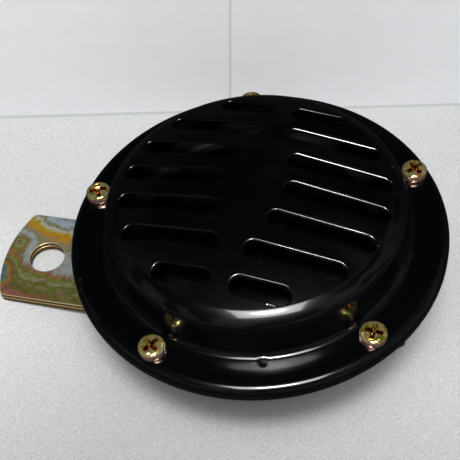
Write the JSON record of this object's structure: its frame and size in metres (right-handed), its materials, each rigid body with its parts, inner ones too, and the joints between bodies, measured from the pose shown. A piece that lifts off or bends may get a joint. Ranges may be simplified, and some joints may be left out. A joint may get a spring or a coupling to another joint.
{
  "type": "car horn",
  "caption": "Round electric disc horn with a domed, slotted front cover screwed to a deep-drawn rear housing, carried on a flat strip bracket with a fixing hole.",
  "frame": {"origin": "centre of the bracket's fixing hole, on the bracket's back face", "axes": "+X along the bracket from the hole towards the horn, +Z out of the horn's front cover, +Y across the bracket"},
  "size_m": [0.135, 0.104, 0.0607],
  "materials": {
    "black_paint": "glossy black stoved enamel",
    "yellow_zinc": "iridescent yellow chromate over zinc",
    "zinc": "bright zinc plate",
    "spring_steel": "plain rolled spring steel",
    "soft_iron": "turned soft iron",
    "gasket_fibre": "dark rubberised fibre",
    "phenolic": "brown phenolic sheet",
    "nylon": "natural nylon",
    "copper": "enamelled copper wire",
    "brass": "plain brass",
    "contact_metal": "tungsten contact"
  },
  "bodies": {
    "horn": {"front_cover": "black_paint", "rear_housing": "black_paint", "cover_screws": "yellow_zinc", "bracket_front_leaf": "yellow_zinc", "bracket_back_leaf": "yellow_zinc", "stud_nut": "yellow_zinc", "stud_spring_washer": "yellow_zinc", "front_gasket": "gasket_fibre", "rear_gasket": "gasket_fibre", "diaphragm": "spring_steel", "pole_core": "soft_iron", "coil_bobbin": "nylon", "coil_winding": "copper", "breaker_bracket": "zinc", "breaker_foot_rivets": "zinc", "contact_insulators": "phenolic", "moving_contact_leaf": "spring_steel", "fixed_contact_arm": "zinc", "fixed_contact_point": "contact_metal", "contact_stack_rivets": "zinc", "adjusting_screw": "zinc", "adjusting_locknut": "zinc", "terminal_plate": "phenolic", "terminal_back_plate": "phenolic", "positive_terminal": "brass", "negative_terminal": "brass", "terminal_rivets": "brass"},
    "striker": {"armature": "soft_iron", "tone_disc_spacer": "zinc", "tone_disc": "black_paint", "tone_disc_washer": "zinc", "armature_nut": "zinc"},
    "breaker_point": {"moving_contact_point": "contact_metal"}
  },
  "joints": [
    {"name": "armature_slide", "type": "slide", "parent": "horn", "child": "striker", "axis": [0, 0, -1], "range_m": [0, 0.0007], "stiffness_N_per_m": 8000, "springref_m": -0.0002, "deforming": ["diaphragm", "moving_contact_leaf"]},
    {"name": "contact_opening", "type": "slide", "parent": "horn", "child": "breaker_point", "axis": [0, 0, -1], "range_m": [0, 0.0003]}
  ],
  "couplings": [
    {"joint": "contact_opening", "follows": "armature_slide", "ratio": 0.4}
  ]
}
